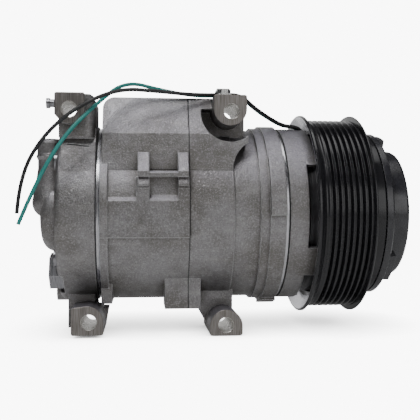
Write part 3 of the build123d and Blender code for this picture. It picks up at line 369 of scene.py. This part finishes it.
def pulley_black():
    """Gloss black belt face with light crest lines (partly wear, partly painted highlight), and a bare
    turned cone inside the rear flange.
    """
    s = Shader("pulley_black", (0.016, 0.016, 0.018), roughness=0.22)
    x = s.axes(s.place)[0]
    facing = s.axes(s.geometry.outputs["Normal"])[0]
    rear = s.math("MULTIPLY", s.math("LESS_THAN", x, CONE_FRONT_X), s.math("LESS_THAN", facing, -0.25))
    rear = s.math("MULTIPLY", rear, s.math("LESS_THAN", s.radius(), CONE_RADIUS))
    clouds = s.spread(s.noise(12, detail=3), 0.4, 0.75, 0, 0.5)
    tone = s.mix(clouds, (0.012, 0.012, 0.014), (0.024, 0.024, 0.028))
    # Light crest lines: partly wear, partly painted highlight along the edges.
    wear_and_edge_highlight = s.math("MULTIPLY", s.edges(0.35), s.spread(s.noise(8, detail=2), 0.3, 0.7, 0.25, 0.6))
    tone = s.mix(wear_and_edge_highlight, tone, (0.16, 0.16, 0.17))
    bare = s.mix(s.spread(s.noise(0.6, detail=2), 0.3, 0.7), (0.6, 0.6, 0.63), (0.8, 0.8, 0.83))
    s.set("Base Color", s.mix(rear, tone, bare))
    s.set("Metallic", s.math("MULTIPLY", rear, 0.8))
    s.set("Roughness", s.spread(s.noise(5, detail=2), 0.3, 0.7, 0.18, 0.26))
    s.set("Normal", s.rounded(0.3))
    return s.material


def rubber(name, color, roughness=0.5, grain=0.5):
    """Moulded rubber or plastic sleeve: a faint grain and a little dust."""
    s = Shader(name, color, roughness=roughness)
    pale = tuple(min(1, c * 1.5 + 0.015) for c in color)
    tone = s.mix(s.spread(s.noise(7, detail=4), 0.45, 0.75, 0, 0.6), color, pale)
    s.set("Base Color", tone)
    s.set("Roughness", s.spread(s.noise(2, detail=3), 0.3, 0.7, roughness * 0.8, roughness * 1.2))
    s.set("Normal", s.bump(s.noise(grain, detail=2), 0.03))
    return s.material


def copper_winding():
    """Enamelled wire wound side by side."""
    s = Shader("copper_winding", (0.55, 0.24, 0.1), metallic=0.8, roughness=0.32)
    wave = s.add("ShaderNodeTexWave", bands_direction="X")
    s.feed(wave.inputs["Vector"], s.place)
    wave.inputs["Scale"].default_value = WINDING_BANDS
    s.set("Base Color", s.mix(wave.outputs["Fac"], (0.3, 0.1, 0.04), (0.62, 0.28, 0.12)))
    s.set("Normal", s.bump(wave.outputs["Fac"], 0.2))
    return s.material


MATERIALS = {
    "cast_aluminium": cast_aluminium(),
    "steel_plate": machined_steel("steel_plate", (0.72, 0.72, 0.75), 0.25),
    "spring_steel": machined_steel("spring_steel", (0.4, 0.42, 0.48), 0.3),
    "gasket_metal": black_paint("gasket_metal", (0.03, 0.03, 0.032), 0.5, 0.0, 0.1),
    "bolt_steel": machined_steel("bolt_steel", (0.42, 0.42, 0.44), 0.32),
    "black_oxide_steel": black_paint("black_oxide_steel", (0.03, 0.03, 0.032), 0.4, 0.0, 0.2),
    "bearing_steel": machined_steel("bearing_steel", (0.75, 0.75, 0.77), 0.18),
    "seal_rubber": rubber("seal_rubber", (0.02, 0.02, 0.02), 0.55),
    "coil_black": black_paint("coil_black", (0.018, 0.018, 0.02), 0.36, 0.2),
    "copper_winding": copper_winding(),
    "pulley_black": pulley_black(),
    "clutch_black": black_paint("clutch_black", (0.02, 0.02, 0.024), 0.26, 0.35, 0.6),
    "shoe_steel": machined_steel("shoe_steel", (0.7, 0.7, 0.72), 0.15),
    "plate_iron": machined_steel("plate_iron", (0.32, 0.32, 0.33), 0.35),
    "piston_aluminium": machined_steel("piston_aluminium", (0.45, 0.45, 0.44), 0.4),
    "black_lead": rubber("black_lead", (0.015, 0.015, 0.016), 0.42),
    "green_lead": rubber("green_lead", (0.03, 0.27, 0.24), 0.38),
    "clip_steel": machined_steel("clip_steel", (0.8, 0.8, 0.78), 0.25),
}


def paint_nodes():
    """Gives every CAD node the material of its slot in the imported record."""
    for part in frame["record"]["subparts"]:
        data = nodes[part["node"]].data
        material = MATERIALS[part["material_slot"]]
        if data.materials:
            for index in range(len(data.materials)):
                data.materials[index] = material
        else:
            data.materials.append(material)


paint_nodes()


# ================= Leads =================
# Diameter and routes, from the cut end to the coil, in millimetres: the same points as in the
# CAD source. Lengths in metres.
WIRE_DIAMETER = 2.2
BLACK_ROUTE = [
    (-190.0, -62, 0.0), (-188.5, -62, 20.0), (-176.5, -61, 43.0), (-157.0, -59, 60.5),
    (-134.0, -54, 71.5), (-112.0, -47, 71.3), (-92.0, -40, 70.8), (-72.7, -35, 71.8),
    (-60.5, -27.5, 73.4), (-50.5, -20.5, 66.2), (-39.5, -14, 60.6), (-30.5, -10.8, 56.6),
    (-23.5, -10.4, 56.2), (-18.2, -10.4, 54.0), (-18.2, -10.4, 50.0),
]
GREEN_ROUTE = [
    (-189.0, -64, -6.0), (-179.5, -64, 17.0), (-165.0, -61, 43.0), (-147.0, -54, 62.6),
    (-131.0, -42, 78.0), (-109.0, -38, 73.4), (-90.0, -35, 70.8), (-72.7, -31.8, 71.8),
    (-60.5, -24.3, 73.4), (-50.5, -17.3, 66.2), (-39.5, -10.8, 60.6), (-30.5, -7.6, 56.6),
    (-23.5, -7.2, 56.2), (-18.2, -7.2, 54.0), (-18.2, -7.2, 50.0),
]


def add_lead(name, route, slot_name):
    """One lead as a smooth round curve, attached to the casing in place of its hidden CAD node."""
    curve = bpy.data.curves.new(name, "CURVE")
    curve.dimensions = "3D"
    curve.bevel_depth = WIRE_DIAMETER / 2 * MM
    curve.bevel_resolution = 6
    curve.use_fill_caps = True
    curve.resolution_u = 24
    spline = curve.splines.new("NURBS")
    spline.points.add(len(route) - 1)
    for point, place in zip(spline.points, route):
        point.co = (*(value * MM for value in place), 1)
    spline.order_u = 3
    spline.use_endpoint_u = True
    lead = bpy.data.objects.new(name, curve)
    bpy.context.scene.collection.objects.link(lead)
    curve.materials.append(MATERIALS[slot_name])
    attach(lead, "casing")
    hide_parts(name)


add_lead("lead_black", BLACK_ROUTE, "black_lead")
add_lead("lead_green", GREEN_ROUTE, "green_lead")


# ================= Floor =================
FLOOR_GLOW = 0.14
FLOOR_REACH = 6.0
FLOOR_DROP = 0.0004
PAINTED_SHADOW_REACH = 0.04


def add_floor():
    """Large pale floor just under the lowest lug, with a painted soft contact shadow seen by the
    camera.
    """
    material = bpy.data.materials.new("floor")
    material.use_nodes = True
    tree = material.node_tree
    surface = tree.nodes["Principled BSDF"]
    surface.inputs["Base Color"].default_value = (0.85, 0.85, 0.85, 1)
    surface.inputs["Roughness"].default_value = 0.9
    surface.inputs["Emission Color"].default_value = (1, 1, 1, 1)
    surface.inputs["Emission Strength"].default_value = FLOOR_GLOW
    # Painted shadow: to camera rays the floor glows white, darkened by ambient occlusion near the
    # object.
    painted_shadow = tree.nodes.new("ShaderNodeAmbientOcclusion")
    painted_shadow.inputs["Distance"].default_value = PAINTED_SHADOW_REACH
    shown = tree.nodes.new("ShaderNodeEmission")
    tree.links.new(painted_shadow.outputs["Color"], shown.inputs["Color"])
    shown.inputs["Strength"].default_value = BACKDROP
    rays = tree.nodes.new("ShaderNodeLightPath")
    mix = tree.nodes.new("ShaderNodeMixShader")
    tree.links.new(rays.outputs["Is Camera Ray"], mix.inputs[0])
    tree.links.new(surface.outputs[0], mix.inputs[1])
    tree.links.new(shown.outputs[0], mix.inputs[2])
    tree.links.new(mix.outputs[0], tree.nodes["Material Output"].inputs["Surface"])
    height = cad_box[0][2] - FLOOR_DROP
    mesh = bpy.data.meshes.new("floor")
    corners = [
        (x * FLOOR_REACH, y * FLOOR_REACH, height)
        for x, y in ((-1, -1), (1, -1), (1, 1), (-1, 1))
    ]
    mesh.from_pydata(corners, [], [(0, 1, 2, 3)])
    mesh.materials.append(material)
    floor = bpy.data.objects.new("floor", mesh)
    bpy.context.scene.collection.objects.link(floor)


add_floor()
